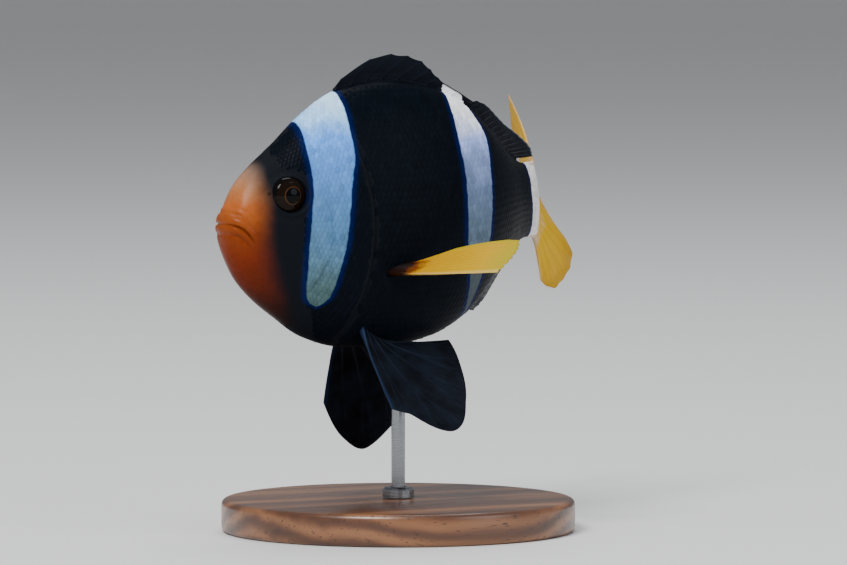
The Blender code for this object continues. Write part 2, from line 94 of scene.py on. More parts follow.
# Raised and sunken lines of the face: how high, how far from the feature's middle, and how wide.
LIP_FOLDS = (
    (0.0028, 0.012, 0.0100),  # the upper lip
    (0.0030, -0.010, 0.0085),  # the lower lip
    (-0.0080, 0.0, 0.0026),  # the line between them
    (-0.0034, 0.028, 0.0046),  # creases above and below
    (-0.0030, -0.023, 0.0046),
    (-0.0008, 0.044, 0.0055),
)
LIP_SWELL = ((0.0010, 0.0, 0.026),)
EYE_RIM = ((0.0024, 0.0430, 0.0042), (-0.0013, 0.0540, 0.0060))
NOSTRIL_RIM = ((0.0016, 0.0052, 0.0022), (-0.0060, 0.0, 0.0032))
GILL_GROOVE = ((-0.0016, 0.006, 0.004),)
EYE_SOCKET = (0.030, 0.0300, 0.0400)  # depth, its floor's radius and its mouth's radius
MOUTH_DROOP = 2.2  # how late the mouth's line turns down to its corner


def smooth_step(value, start, end):
    """0 before start, 1 after end, and an S curve between them."""
    share = np.clip((value - start) / (end - start), 0.0, 1.0)
    return share * share * (3 - 2 * share)


def curve_through(knots, values, where):
    """A smooth curve through (knots, values) that never overshoots them, and is level beyond its ends."""
    knots, values, where = (np.asarray(given, float) for given in (knots, values, where))
    where = np.clip(where, knots[0], knots[-1])
    steps = np.diff(knots)
    slopes = np.diff(values) / steps
    before, after = slopes[:-1], slopes[1:]
    same_way = before * after > 0
    inner = np.where(same_way, 2 * before * after / np.where(same_way, before + after, 1.0), 0.0)
    tangents = np.concatenate(([slopes[0]], inner, [slopes[-1]]))
    i = np.clip(np.searchsorted(knots, where) - 1, 0, len(steps) - 1)
    t = (where - knots[i]) / steps[i]
    return (
        values[i] * (1 + 2 * t) * (1 - t) ** 2
        + values[i + 1] * t * t * (3 - 2 * t)
        + steps[i] * (tangents[i] * t * (1 - t) ** 2 - tangents[i + 1] * t * t * (1 - t))
    )


def section(along):
    """Top, bottom, half width and height of the widest line of the body at many places."""
    root = np.sqrt(np.maximum(along, 0.0))
    return [curve_through(np.sqrt(STATIONS[:, 0]), STATIONS[:, k], root) for k in range(1, 5)]


def heading_at(along):
    return TAIL_TURN * smooth_step(along, TURN_STARTS, TURN_ENDS)


# The midline in plan, summed up in short steps from the snout.
MIDLINE_STEP = 0.001
midline_at = np.arange(-0.1, 1.5, MIDLINE_STEP)
midline_heading = heading_at(midline_at + MIDLINE_STEP / 2)
midline_x = midline_at[0] + np.concatenate(([0], np.cumsum(np.cos(midline_heading))[:-1])) * MIDLINE_STEP
midline_y = np.concatenate(([0], np.cumsum(np.sin(midline_heading))[:-1])) * MIDLINE_STEP
rod_x, rod_y = (np.interp(ROD_ALONG, midline_at, line) for line in (midline_x, midline_y))


def place(points):
    """Bends points of the straight fish to its swimming curve and sets them over the stand, in metres."""
    along, side, height = np.moveaxis(np.asarray(points, float), -1, 0)
    roll = TAIL_ROLL * smooth_step(along, ROLL_STARTS, 1.0)
    heading = heading_at(along)
    leant = side * np.cos(roll) + height * np.sin(roll)
    raised = height * np.cos(roll) - side * np.sin(roll)
    x = np.interp(along, midline_at, midline_x) - leant * np.sin(heading) - rod_x
    y = np.interp(along, midline_at, midline_y) + leant * np.cos(heading) - rod_y
    lifted = AXIS_HEIGHT + raised * BODY_LENGTH
    return np.stack((x * BODY_LENGTH, y * BODY_LENGTH, lifted), -1)


def edge_at(edge, height):
    """Where a bowed edge lies along the fish, at one height."""
    furthest_back, level, bow = edge
    return furthest_back - bow * (height - level) ** 2


def hump(distance, width):
    return np.exp(-((distance / width) ** 2))


def ridges(distance, lines):
    return sum(rise * hump(distance - middle, width) for rise, middle, width in lines)


def within(value, starts, full, fades, ends):
    """0 before starts and after ends, 1 from full to where it fades, and S curves between them."""
    return smooth_step(value, starts, full) * (1 - smooth_step(value, fades, ends))


def relief(along, height):
    """How far the lips, the eye's rim, the nostril and the gill covers stand out from the plain body."""
    share = np.clip((along - MOUTH_FRONT[0]) / (MOUTH_CORNER[0] - MOUTH_FRONT[0]), 0.0, 1.25)
    off_mouth = height - MOUTH_FRONT[1] - (MOUTH_CORNER[1] - MOUTH_FRONT[1]) * share**MOUTH_DROOP
    on_mouth = 1 - smooth_step(along, 0.70 * MOUTH_CORNER[0], MOUTH_CORNER[0] + 0.010)
    lips = ridges(off_mouth, LIP_SWELL) * (1 - smooth_step(along, 0.018, MOUTH_CORNER[0]))
    lips += ridges(off_mouth, LIP_FOLDS) * on_mouth
    lips *= 0.45 + 0.55 * smooth_step(along, -0.002, 0.014)

    from_eye = np.hypot(along - EYE_PLACE[0], height - EYE_PLACE[1])
    eye = ridges(from_eye, EYE_RIM) - EYE_SOCKET[0] * (1 - smooth_step(from_eye, *EYE_SOCKET[1:]))

    from_nostril = np.hypot(along - NOSTRIL_PLACE[0], height - NOSTRIL_PLACE[1])
    nostril = ridges(from_nostril, NOSTRIL_RIM)

    past_edge = along - edge_at(CHEEK_EDGE, height)
    cheek = CHEEK["rise"] * within(past_edge, *CHEEK["to_edge"]) * within(height, *CHEEK["heights"])

    past_edge = along - edge_at(GILL_EDGE, height)
    cover = COVER["rise"] * within(past_edge, *COVER["to_edge"]) + ridges(past_edge, GILL_GROOVE)
    cover *= within(height, *COVER["heights"])
    return lips + eye + nostril + cheek + cover


# A fine chart of the right half of the flesh. Its rows run from the snout to the tail's root, and its
# columns from the back down to the belly, evenly spaced round the body. The rows crowd at the snout.
CHART_ROWS, CHART_COLUMNS, RING_STEPS = 1000, 321, 240
CHART_CROWDING = 1.6
chart_along = SNOUT + (TAIL_ROOT - SNOUT) * np.linspace(0, 1, CHART_ROWS) ** CHART_CROWDING
nose = np.sqrt(np.clip((chart_along - SNOUT) / -SNOUT, 0, 1))
end = np.sqrt(np.clip((TAIL_ROOT - chart_along) / (TAIL_ROOT - 1.0), 0, 1))
top, bottom, half_width, middle = (row[:, None] for row in section(chart_along))
angles = np.linspace(0, math.pi, RING_STEPS + 1)[None, :]
up, out = np.cos(angles), np.sin(angles)
reach = np.where(up > 0, top - middle, middle - bottom) * nose[:, None]
ring_height = middle + np.sign(up) * np.abs(up) ** (2 / LENS_POWER) * reach
ring_side = half_width * (nose * end)[:, None] * out ** (2 / LENS_POWER)
lengths_round = np.hypot(np.diff(ring_height, axis=1), np.diff(ring_side, axis=1))
walked = np.concatenate((np.zeros((CHART_ROWS, 1)), np.cumsum(lengths_round, axis=1)), axis=1)
arc_top = walked[:, RING_STEPS // 2]
arc_whole = walked[:, -1]
shares = np.linspace(0, 1, CHART_COLUMNS)
chart = np.empty((CHART_ROWS, CHART_COLUMNS, 3))
chart[..., 0] = chart_along[:, None]
for i in range(CHART_ROWS):
    chart[i, :, 1] = np.interp(shares * arc_whole[i], walked[i], ring_side[i])
    chart[i, :, 2] = np.interp(shares * arc_whole[i], walked[i], ring_height[i])


def normals_of(sheet):
    """Outward normals of the chart, which are level with the middle plane on the back and the belly."""
    normals = np.cross(np.gradient(sheet, axis=1), np.gradient(sheet, axis=0))
    normals[:, (0, -1), 1] = 0.0
    normals[0], normals[-1] = (-1, 0, 0), (1, 0, 0)
    normals /= np.maximum(np.linalg.norm(normals, axis=2, keepdims=True), 1e-12)
    normals[1:-1] *= np.sign(normals[CHART_ROWS // 2, CHART_COLUMNS // 2, 1])
    return normals


# The relief fades out towards the back's and the belly's midline, except at the tip of the snout.
flesh_relief = relief(chart[..., 0], chart[..., 2])
on_flank = np.minimum(1.0, chart[..., 1] / np.maximum(half_width, 1e-6) * 1.6)
flesh_relief *= np.maximum(on_flank, 1 - smooth_step(chart[..., 0], 0.004, 0.030))
chart = chart + normals_of(chart) * (flesh_relief - COAT_DEPTH)[..., None]
chart[:, (0, -1), 1] = 0.0
chart_normals = normals_of(chart)


def read_chart(values, along, share):
    """Reads the chart between its rows and columns. Share 0 is the back and 1 the belly."""
    row = np.clip(np.interp(along, chart_along, np.arange(CHART_ROWS)), 0, CHART_ROWS - 1.001)
    column = np.clip(share * (CHART_COLUMNS - 1), 0, CHART_COLUMNS - 1.001)
    i, j = row.astype(int), column.astype(int)
    down, across = (row - i)[..., None], (column - j)[..., None]
    upper = values[i, j] * (1 - across) + values[i, j + 1] * across
    lower = values[i + 1, j] * (1 - across) + values[i + 1, j + 1] * across
    return upper * (1 - down) + lower * down


# The markings: black flanks, a white bar behind the eye and one behind the middle, a pale tail root, and
# an orange face that fades into the black. Each point of skin, scale or fin carries three numbers: how
# far it is inside a bar, how far it is in front of the face's edge, and its height, with 1 added from the
# middle of the body and 2 by the tail, where the bars have other tones. The height also sets painted
# shading: the bars and the face are painted darker towards the belly as shade, and the face paler on top as
# light.
HEAD_BAR = {
    "heights": (-0.206, -0.192, -0.150, -0.084, -0.008, 0.065, 0.135, 0.212, 0.262, 0.30),
    "front": (0.186, 0.177, 0.172, 0.172, 0.177, 0.185, 0.181, 0.181, 0.188, 0.198),
    "rear": (0.220, 0.232, 0.244, 0.259, 0.268, 0.277, 0.288, 0.286, 0.281, 0.273),
}
MIDDLE_BAR = {
    "heights": (-0.260, -0.165, -0.061, 0.076, 0.146, 0.210, 0.330),
    "front": (0.618, 0.596, 0.574, 0.571, 0.564, 0.563, 0.600),
    "rear": (0.620, 0.642, 0.656, 0.664, 0.672, 0.644, 0.640),
}
TAIL_BAR_START, TAIL_BAR_SLANT = 0.935, 0.02 / 0.09
BAR_BLUNTNESS = 2.0  # how suddenly a bar ends below
MIDDLE_REGION, TAIL_REGION = 0.45, 0.915  # where the tones of the middle bar and the tail root begin
FACE_EDGE = {
    "heights": (-0.251, -0.206, -0.138, -0.076, 0.0, 0.084, 0.12),
    "along": (0.160, 0.134, 0.103, 0.082, 0.070, 0.066, 0.060),
}


def markings_at(points):
    """Distance inside the bars, distance in front of the face's edge, and height, in body lengths."""
    along, _, height = np.moveaxis(points, -1, 0)
    inside = along - TAIL_BAR_START - TAIL_BAR_SLANT * np.abs(height)
    for bar in (HEAD_BAR, MIDDLE_BAR):
        front, rear = (curve_through(bar["heights"], bar[edge], height) for edge in ("front", "rear"))
        past_end = BAR_BLUNTNESS * np.maximum(0.0, bar["heights"][0] - height)
        inside = np.maximum(inside, np.minimum(along - front, rear - along) - past_end)
    face = curve_through(FACE_EDGE["heights"], FACE_EDGE["along"], height) - along
    region = np.where(along < MIDDLE_REGION, 0.0, np.where(along < TAIL_REGION, 1.0, 2.0))
    return np.stack((inside, face, height + region), -1)


def paint(red, green, blue):
    """A colour given on a 0 to 255 scale, as the shaders take it."""
    return tuple(
        c / 12.92 if c <= 0.04045 else ((c + 0.055) / 1.055) ** 2.4
        for c in (red / 255, green / 255, blue / 255)
    ) + (1.0,)


def new_finish(name, roughness, settings=None):
    """A material, its node tree and its shader."""
    finish = bpy.data.materials.new(name)
    finish.use_nodes = True
    shader = finish.node_tree.nodes["Principled BSDF"]
    shader.inputs["Roughness"].default_value = roughness
    for socket, value in (settings or {}).items():
        shader.inputs[socket].default_value = value
    return finish, finish.node_tree, shader


def node(tree, kind, inputs=None, output=0, **settings):
    """Adds a shader node, sets or links its inputs, and returns one of its outputs."""
    made = tree.nodes.new("ShaderNode" + kind)
    for setting, value in settings.items():
        setattr(made, setting, value)
    for socket, value in (inputs or {}).items():
        if isinstance(value, bpy.types.NodeSocket):
            tree.links.new(value, made.inputs[socket])
        else:
            made.inputs[socket].default_value = value
    return made.outputs[output]


def attribute(tree, name):
    return node(tree, "Attribute", output="Vector", attribute_name=name)


# The functions from here on add their nodes to the tree that the value given to them belongs to.
def split(vector):
    parts = vector.id_data.nodes.new("ShaderNodeSeparateXYZ")
    vector.id_data.links.new(vector, parts.inputs[0])
    return parts.outputs


def noise(where, scale, detail):
    inputs = {"Vector": where, "Scale": scale, "Detail": detail, "Roughness": 0.55}
    return node(where.id_data, "TexNoise", inputs)


def spread(value, low, high, to_low=0.0, to_high=1.0, smooth=True):
    """Maps low..high to to_low..to_high, and stays within them."""
    inputs = {"Value": value, 1: low, 2: high, 3: to_low, 4: to_high}
    kind = "SMOOTHSTEP" if smooth else "LINEAR"
    return node(value.id_data, "MapRange", inputs, interpolation_type=kind)


def drift(pattern, low, high, smooth=True):
    """A noise pattern's middle range, mapped to low..high."""
    return spread(pattern, 0.3, 0.7, low, high, smooth)


def reckon(operation, first, second):
    return node(first.id_data, "Math", {0: first, 1: second}, operation=operation)


def plus(first, second):
    return reckon("ADD", first, second)


def times(first, second):
    return reckon("MULTIPLY", first, second)


def layered(colour, *layers):
    """A colour with others laid over it in turn, each given as its share and the colour."""
    for share, over in layers:
        colour = node(share.id_data, "Mix", {0: share, 6: colour, 7: over}, output=2, data_type="RGBA")
    return colour


def shades(value, stops):
    """A colour ramp through stops of a position and a colour."""
    ramp = value.id_data.nodes.new("ShaderNodeValToRGB")
    value.id_data.links.new(value, ramp.inputs[0])
    points = ramp.color_ramp.elements
    while len(points) < len(stops):
        points.new(0.5)
    for point, (position, colour) in zip(points, stops):
        point.position = position
        point.color = paint(*colour)
    return ramp.outputs[0]


def toned(colour, tone):
    """A colour made lighter or darker by a number round 1."""
    grey = node(tone.id_data, "CombineXYZ", {0: tone, 1: tone, 2: tone})
    return node(tone.id_data, "VectorMath", {0: colour, 1: grey}, operation="MULTIPLY")


def cover_with(shader, colour, roughness):
    colour.id_data.links.new(colour, shader.inputs["Base Color"])
    colour.id_data.links.new(roughness, shader.inputs["Roughness"])


def bumps(shader, height, distance, strength):
    made = node(height.id_data, "Bump", {"Height": height, "Distance": distance, "Strength": strength})
    height.id_data.links.new(made, shader.inputs["Normal"])


BLACK_SKIN = paint(8, 13, 20)
BLUE_EDGE = paint(2, 17, 64)
# Tones of the head bar by height, from the belly up: a bluish white, with painted shade that darkens and
# greys it towards the belly.
HEAD_BAR_TONES_WITH_PAINTED_SHADE = (
    (0.00, (66, 88, 88)),
    (0.18, (74, 99, 103)),
    (0.27, (80, 111, 128)),
    (0.46, (78, 121, 163)),
    (0.67, (84, 134, 202)),
    (0.79, (94, 157, 244)),
    (0.88, (150, 204, 255)),
    (1.00, (206, 238, 255)),
)
# Tones of the middle bar by height, with the same painted shade darkening it towards the belly.
MIDDLE_BAR_TONES_WITH_PAINTED_SHADE = (
    (0.00, (66, 76, 80)),
    (0.18, (76, 86, 90)),
    (0.46, (95, 114, 135)),
    (0.57, (102, 119, 153)),
    (0.67, (134, 154, 202)),
    (0.74, (166, 187, 248)),
    (0.86, (244, 248, 255)),
    (1.00, (255, 255, 255)),
)
TAIL_ROOT_TONE = paint(226, 222, 220)
# Tones of the orange face by height, from the throat up, with painted shade darkening them towards the throat
# and painted light paling them on top.
FACE_TONES_WITH_PAINTED_SHADING = (
    (0.00, (30, 10, 5)),
    (0.16, (54, 16, 5)),
    (0.29, (88, 28, 6)),
    (0.42, (108, 37, 8)),
    (0.57, (120, 50, 13)),
    (0.69, (146, 72, 26)),
    (0.76, (166, 86, 36)),
    (0.84, (164, 104, 62)),
    (1.00, (166, 134, 114)),
)


def marked_colour(tree):
    """The coat's colour with its painted shading, and how white and how orange it is, from the three numbers
    of the markings.
    """
    inside, face, height = split(attribute(tree, "markings"))
    where = node(tree, "TexCoord", output="Object")
    wander = drift(noise(where, 420.0, 2.0), -0.0012, 0.0012, smooth=False)
    inside = plus(inside, wander)
    white = spread(inside, -0.0012, 0.0030)
    edge = spread(inside, -0.0180, -0.0030)
    head_level = spread(height, -0.26, 0.27, smooth=False)
    middle_level = spread(height, 0.74, 1.27, smooth=False)
    cloud = noise(where, 90.0, 4.0)
    cloudy = drift(cloud, -0.06, 0.06, smooth=False)
    fading = plus(face, drift(cloud, -0.005, 0.005))
    orange = spread(fading, -0.028, 0.040)
    # The face's tones by height carry painted shade below and painted light on top.
    face_level = plus(spread(height, -0.27, 0.115, smooth=False), cloudy)
    # The bars' tones by height carry painted shade, darker towards the belly.
    head_bar_with_painted_shade = shades(plus(head_level, cloudy), HEAD_BAR_TONES_WITH_PAINTED_SHADE)
    middle_bar_with_painted_shade = shades(plus(middle_level, cloudy), MIDDLE_BAR_TONES_WITH_PAINTED_SHADE)
    pale = layered(
        head_bar_with_painted_shade, (spread(height, 0.45, 0.50), middle_bar_with_painted_shade), (spread(height, 1.5, 1.7), TAIL_ROOT_TONE))
    coat = layered(BLACK_SKIN, (edge, BLUE_EDGE), (orange, shades(face_level, FACE_TONES_WITH_PAINTED_SHADING)), (white, pale))
    return coat, white, orange, where


def new_grid(name, across, along):
    """A square grid whose vertices' places are then worked out from their two shares, 0 to 1."""
    bpy.ops.mesh.primitive_grid_add(x_subdivisions=across, y_subdivisions=along, size=1.0)
    piece = bpy.context.object
    piece.name = piece.data.name = name
    shares = places_of(piece) + 0.5
    return piece, shares[:, 0], shares[:, 1]


def places_of(piece):
    flat = np.empty(len(piece.data.vertices) * 3)
    piece.data.vertices.foreach_get("co", flat)
    return flat.reshape(-1, 3)


def add_object(name, data):
    made = bpy.data.objects.new(name, data)
    bpy.context.scene.collection.objects.link(made)
    return made


def set_places(piece, points):
    piece.data.vertices.foreach_set("co", np.ascontiguousarray(points, dtype=np.float32).ravel())
    piece.data.update()


def add_numbers(piece, name, vectors):
    """Stores three numbers at each vertex for the piece's material."""
    layer = piece.data.attributes.new(name, "FLOAT_VECTOR", "POINT")
    layer.data.foreach_set("vector", np.ascontiguousarray(vectors, dtype=np.float32).ravel())


def turn_faces_out(piece, merge_within=0.0):
    """Merges the doubled vertices along seams and poles, where asked, and turns the faces outwards."""
    bpy.ops.object.select_all(action="DESELECT")
    piece.select_set(True)
    bpy.context.view_layer.objects.active = piece
    bpy.ops.object.mode_set(mode="EDIT")
    bpy.ops.mesh.select_all(action="SELECT")
    if merge_within:
        bpy.ops.mesh.remove_doubles(threshold=merge_within)
    bpy.ops.mesh.normals_make_consistent(inside=False)
    bpy.ops.object.mode_set(mode="OBJECT")


SEAM = 2e-6  # vertices closer than this are one
SKIN_RINGS, SKIN_COLUMNS = 310, 300
skin, share_along, share_round = new_grid("skin", SKIN_RINGS, SKIN_COLUMNS)
NOSE_CROWDING = 2.2  # rings crowd at the tip of the snout, and lie closer on the head than behind it
ring_knots = (0.0, 0.12, 0.60, 1.0)
along_knots = (SNOUT, 0.030, 0.345, TAIL_ROOT)
skin_along = np.interp(share_along, ring_knots, along_knots)
in_nose = share_along < ring_knots[1]
nose_share = share_along / ring_knots[1]
skin_along = np.where(in_nose, SNOUT + (along_knots[1] - SNOUT) * nose_share**NOSE_CROWDING, skin_along)
right_half = share_round < 0.5
share_down = np.where(right_half, share_round, 1 - share_round) * 2
straight = read_chart(chart, skin_along, share_down)
straight[:, 1] *= np.where(right_half, 1, -1)
set_places(skin, place(straight))
add_numbers(skin, "markings", markings_at(straight))
turn_faces_out(skin, SEAM)
bpy.ops.object.shade_smooth()
skin_finish, tree, shader = new_finish("wet_skin", 0.42, {"Specular IOR Level": 0.09})
coat, _, orange, where = marked_colour(tree)
pores = noise(where, 3800.0, 3.0)
fine = noise(where, 900.0, 3.0)
mottle = spread(fine, 0.35, 0.7, 0.93, 1.03, smooth=False)
smooth_face = spread(orange, 0.2, 0.9, 0.68, 0.28)
rough = plus(smooth_face, drift(fine, -0.05, 0.07))
cover_with(shader, toned(coat, mottle), rough)
bumps(shader, plus(times(pores, 0.5), fine), 0.00006, 0.45)
skin.data.materials.append(skin_finish)
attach(skin, "root")
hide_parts("head", "trunk", "tail_stalk")

# ----------------------------------------
# SCALES
# Thin horny plates, each rooted in the skin at its front edge and lying back over the next, in rows that
# run from head to tail. They are smallest on the cheeks and by the tail, and the snout has none.
SCALE_LENGTH, SCALE_ROW = 0.0138, 0.0164
SCALE_CORNERS = 12
SCALE_REACH = {"front": 0.0114, "rear": 0.0108, "half_width": 0.0124}
SCALE_LIFT = {"front": -0.0010, "rear": 0.0010, "dome": 0.0003, "thickness": 0.0004}
SCALE_SIZES = ((0.08, 0.17, 0.32, 0.74, 0.90, 1.02), (0.56, 0.66, 1.0, 1.0, 0.80, 0.62))  # places, sizes
SCALES_ALONG, SCALE_LINES = (0.05, 1.004), 30  # the first and the last, and rows above and below the middle
BARE_SNOUT = (
    (-0.30, -0.20, -0.13, -0.06, 0.0, 0.06, 0.10, 0.15),  # heights
    (0.225, 0.180, 0.165, 0.158, 0.158, 0.150, 0.118, 0.104),  # where the first scales stand
)
BARE_ROUND_EYE, BARE_AT_GILL, BARE_AT_RIDGE = 0.060, 0.009, 0.012
GILL_CLEARANCE = 0.0030
SUNK_BY_GILL = (0.0016, 0.002, 0.011)  # how deep, in full up to where, and not at all from where
SCALE_VARIETY = {"size": 0.04, "turn": 0.05, "lift": 0.10, "shade": 0.16}
BAKE_PATCH = 0.0030
random = np.random.default_rng(7)

# One scale: a disc with a bevelled upper edge and a raised middle.
bpy.ops.mesh.primitive_cone_add(vertices=SCALE_CORNERS, radius1=1.0, radius2=0.72, depth=1.0)
pattern = bpy.context.object
bpy.ops.object.mode_set(mode="EDIT")
bpy.ops.mesh.select_all(action="DESELECT")
bpy.ops.object.mode_set(mode="OBJECT")
for face in pattern.data.polygons:
    face.select = face.normal.z > 0.9
bpy.ops.object.mode_set(mode="EDIT")
bpy.ops.mesh.poke()
bpy.ops.object.mode_set(mode="OBJECT")
pattern_points = np.array([vertex.co for vertex in pattern.data.vertices])
pattern_faces = [tuple(face.vertices) for face in pattern.data.polygons]
bpy.data.objects.remove(pattern)
from_middle = np.hypot(pattern_points[:, 0], pattern_points[:, 1])
pattern_top = (pattern_points[:, 2] > 0).astype(float)

# Where the scales are rooted: rings round the body half a scale apart, each staggered against the last.
lengthways = np.linspace(SCALES_ALONG[0], TAIL_ROOT, 600)
scale_sizes = np.interp(lengthways, *SCALE_SIZES)
counted = np.concatenate(([0], np.cumsum(np.diff(lengthways) / (SCALE_LENGTH * scale_sizes[1:]))))
roots = []
for half_step in range(int(counted[-1] * 2)):
    along = float(np.interp(half_step / 2, counted, lengthways))
    size = float(np.interp(along, *SCALE_SIZES))
    row = np.interp(along, chart_along, np.arange(CHART_ROWS))
    arc_up, arc_all = (np.interp(row, np.arange(CHART_ROWS), arc) for arc in (arc_top, arc_whole))
    for line in range(-SCALE_LINES, SCALE_LINES + 1):
        share = (arc_up - line * SCALE_ROW * size) / arc_all
        if (line + half_step) % 2 == 0 and BARE_AT_RIDGE < share < 1 - BARE_AT_RIDGE:
            roots.append((along, share, size, arc_all))
roots = np.array(roots)
root_points = read_chart(chart, roots[:, 0], roots[:, 1])
from_eye = np.hypot(root_points[:, 0] - EYE_PLACE[0], root_points[:, 2] - EYE_PLACE[1])
past_gill = root_points[:, 0] - edge_at(GILL_EDGE, root_points[:, 2])
kept = root_points[:, 0] > np.interp(root_points[:, 2], *BARE_SNOUT)
kept &= (from_eye > BARE_ROUND_EYE) & (np.abs(past_gill) > BARE_AT_GILL)
kept &= roots[:, 0] < SCALES_ALONG[1]
roots, behind_gill = roots[kept], past_gill[kept] > 0
for name, flank in (("left", -1), ("right", 1)):
    jitter = random.normal(0.0, 1.0, (len(roots), 4))
    bigger, turned, raised, shaded = (
        amount * column[:, None] for amount, column in zip(SCALE_VARIETY.values(), jitter.T)
    )
    along, share, size, arc = (column[:, None] for column in roots.T)
    lengthwise = np.where(pattern_points[:, 0] > 0, SCALE_REACH["rear"], SCALE_REACH["front"])
    steps_back = pattern_points[:, 0] * lengthwise * size * (1 + bigger)
    steps_round = pattern_points[:, 1] * SCALE_REACH["half_width"] * size * (1 + bigger)
    at = along + steps_back - steps_round * turned
    round_at = np.clip(share + (steps_round + steps_back * turned) / arc, 0.0, 1.0)
    edge = edge_at(GILL_EDGE, read_chart(chart, at, round_at)[..., 2])
    # The scales stop short of the gill's edge on both sides, and those nearest to it lie sunk in the skin.
    behind = behind_gill[:, None]
    clear = np.where(behind, at - edge, edge - at)
    clear = np.minimum(clear, clear[:, pattern_top > 0].min(axis=1, keepdims=True) + 0.012)
    at = np.where(behind, np.maximum(at, edge + GILL_CLEARANCE), np.minimum(at, edge - GILL_CLEARANCE))
    on_skin = read_chart(chart, at, round_at)
    outward = read_chart(chart_normals, at, round_at)
    back_share = (pattern_points[:, 0] + 1) / 2
    lift = SCALE_LIFT["front"] + (SCALE_LIFT["rear"] - SCALE_LIFT["front"]) * back_share
    lift = lift + SCALE_LIFT["dome"] * (1 - from_middle**2) * pattern_top
    lift = lift + SCALE_LIFT["thickness"] * (pattern_top - 0.5)
    lift = lift * (0.35 + 0.65 * size) * (1 + raised)
    lift = lift - SUNK_BY_GILL[0] * (1 - smooth_step(clear, *SUNK_BY_GILL[1:]))
    points = on_skin + outward * lift[..., None]
    points[..., 1] *= flank
    count, corners = points.shape[:2]
    faces = [tuple(corner + corners * i for corner in face) for i in range(count) for face in pattern_faces]
    mesh = bpy.data.meshes.new(f"scales_{name}")
    mesh.from_pydata(place(points.reshape(-1, 3)).tolist(), [], faces)
    scales = add_object(f"scales_{name}", mesh)
    add_numbers(scales, "markings", markings_at(points.reshape(-1, 3)))
    shade = np.clip(0.5 + shaded, 0, 1) + np.zeros((count, corners))
    plate = np.stack((shade, from_middle + np.zeros_like(shade), np.zeros_like(shade)), -1)
    add_numbers(scales, "plate", plate.reshape(-1, 3))
    # Each scale gets a small patch for baking, at its root's place on an unwrap of the flank.
    u = np.clip(along + pattern_points[:, 0] * BAKE_PATCH / 2, 0, 1)
    v = 0.5 + (share - 0.5) * arc * 0.9 + pattern_points[:, 1] * BAKE_PATCH / 2
    corner_order = np.empty(len(mesh.loops), dtype=np.int32)
    mesh.loops.foreach_get("vertex_index", corner_order)
    places = np.stack((u.ravel(), v.ravel()), -1)[corner_order]
    mesh.uv_layers.new(name="OFBake").data.foreach_set("uv", places.astype(np.float32).ravel())
    turn_faces_out(scales)
    bpy.ops.object.shade_smooth_by_angle(angle=math.radians(40))
    if name == "left":
        scale_finish, tree, shader = new_finish("wet_scales", 0.40, {"Specular IOR Level": 0.025})
        coat, _, _, where = marked_colour(tree)
        shade, from_middle_out, _ = split(attribute(tree, "plate"))
        tint = spread(shade, 0.1, 0.9, 0.80, 1.18, smooth=False)
        rim = spread(from_middle_out, 0.72, 1.0, 1.0, 0.84)
        tint = times(tint, rim)
        fine = noise(where, 1600.0, 3.0)
        cover_with(shader, toned(coat, tint), drift(fine, 0.32, 0.44))
        bumps(shader, fine, 0.00005, 0.5)
    mesh.materials.append(scale_finish)
    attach(scales, "root")

# ----------------------------------------
# EYES
# A firm ball set deep in its socket: a dark brown iris with a thin, dull gold ring round the pupil, and
# a clear, wet cornea over them.
EYE_FIT = 0.985  # size of the ball against its socket
IRIS_DISH = (0.10, 0.62, 0.20)  # how deep, how far out and how wide the iris dips round the pupil
for name in ("eye_left", "eye_right"):
    low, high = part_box(name)
    centre, radii = (low + high) / 2, (high - low) / 2
    outward = -1 if name == "eye_left" else 1
    bpy.ops.mesh.primitive_uv_sphere_add(segments=64, ring_count=40, radius=1.0)
    eye = bpy.context.object
    eye.name = eye.data.name = name + "_ball"
    ball = places_of(eye)
    radius = np.hypot(ball[:, 0], ball[:, 1])
    dish, dish_radius, dish_width = IRIS_DISH
    dip = np.where(ball[:, 2] > 0, dish * hump(radius - dish_radius, dish_width), 0.0)
    points = np.stack((ball[:, 0], (ball[:, 2] - dip) * outward, ball[:, 1]), -1)
    set_places(eye, np.array(centre) + points * np.array(radii) * EYE_FIT)
    add_numbers(eye, "iris", np.stack((radius, ball[:, 2], np.zeros_like(radius)), -1))
    turn_faces_out(eye, SEAM)
    bpy.ops.object.shade_smooth()
    if name == "eye_left":
        cornea = {"Specular IOR Level": 0.0, "Coat Weight": 0.35, "Coat Roughness": 0.02, "Coat IOR": 1.33}
        eye_finish, tree, shader = new_finish("eye", 0.12, cornea)
        radius, _, _ = split(attribute(tree, "iris"))
        where = node(tree, "TexCoord", output="Object")
        streaks = noise(where, 2600.0, 4.0)
        at = plus(radius, drift(streaks, -0.012, 0.012, smooth=False))
        ring_outside = spread(at, 0.47, 0.51, 1.0, 0.0)
        gold = times(spread(at, 0.425, 0.445), ring_outside)
        pupil = spread(radius, 0.42, 0.435, 1.0, 0.0)
        outer = spread(radius, 0.78, 0.94)
        iris = layered(
            paint(10, 7, 5), (streaks, paint(27, 17, 10)), (gold, paint(64, 39, 19)),
            (pupil, (0.0015, 0.0015, 0.002, 1.0)), (outer, paint(8, 7, 8)))
        tree.links.new(iris, shader.inputs["Base Color"])
    eye.data.materials.append(eye_finish)
    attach(eye, "root")
    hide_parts(name)

# ----------------------------------------
# DORSAL FIN
# Ten stiff spines in front and fourteen branched soft rays behind, joined by thin skin that dips
# between the tips. The middle bar runs up on to it at the notch, and its rear lobe has a paler rim.
RIB_HALF_WIDTH = {"spine": 0.00030, "ray": 0.00022}
RIB_THICKNESS, WEB_THICKNESS = 0.00075, 0.00013
# Soft rays split in two about half way out, and each half splits again near the rim: how far each fork
# spreads, as a share of the gap between rays, where it begins, and where it is widest.
FORKS = ((0.20, 0.35, 0.85), (0.10, 0.66, 1.0))


def between(ends, share):
    return ends[0] + (ends[1] - ends[0]) * share


